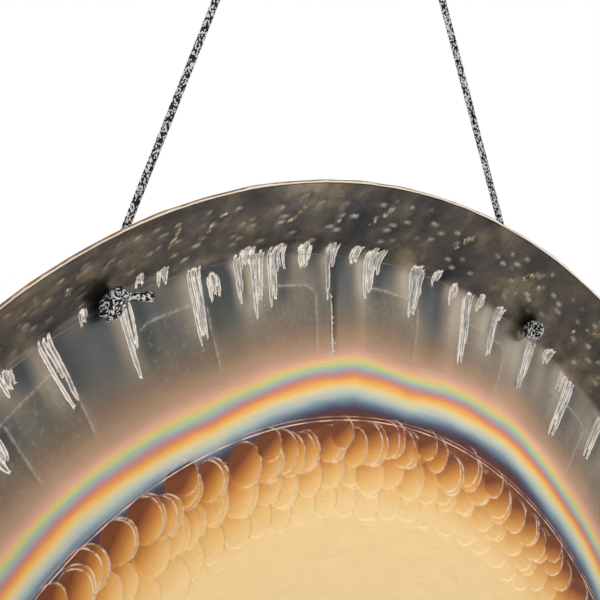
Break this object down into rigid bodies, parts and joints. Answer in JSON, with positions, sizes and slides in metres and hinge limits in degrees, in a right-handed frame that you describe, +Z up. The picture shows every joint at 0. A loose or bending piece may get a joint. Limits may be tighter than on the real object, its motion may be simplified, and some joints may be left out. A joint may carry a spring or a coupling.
{
  "type": "tam tam gong",
  "caption": "Flat-faced bronze tam tam gong with a turned-in flange, hung by a knotted braided cord over a ceiling hook.",
  "frame": {"origin": "middle of the ceiling hook's top face, where it meets the ceiling or beam", "axes": "+Z up, along the hook's screw holes; +X along the line through the two screw holes and across the gong; -Y is the hollow side of the gong, with the two stopper knots"},
  "size_m": [0.8127, 0.0605, 1.1404],
  "materials": {
    "bronze": "hammered, heat-coloured and brushed bronze",
    "braided_cord": "black and white speckled braided polyester cord",
    "hook_steel": "zinc-plated steel"
  },
  "bodies": {
    "hook": {"ceiling_hook": "hook_steel"},
    "bight": {"cord_bight": "braided_cord"},
    "legs": {"cord_left_leg": "braided_cord", "cord_right_leg": "braided_cord"},
    "gong": {"gong_disc": "bronze", "left_knot": "braided_cord", "right_knot": "braided_cord"}
  },
  "joints": [
    {"name": "cord_turn", "type": "hinge", "parent": "hook", "child": "bight", "pos_m": [0, 0, -0.0399], "axis": [0, 0, 1], "range_deg": [-30, 30]},
    {"name": "cord_swing", "type": "hinge", "parent": "bight", "child": "legs", "pos_m": [0, 0, -0.0447], "axis": [1, 0, 0], "range_deg": [-20, 20]},
    {"name": "gong_tilt", "type": "hinge", "parent": "legs", "child": "gong", "pos_m": [0, 0.0006, -0.3949], "axis": [1, 0, 0], "range_deg": [-20, 20]}
  ]
}
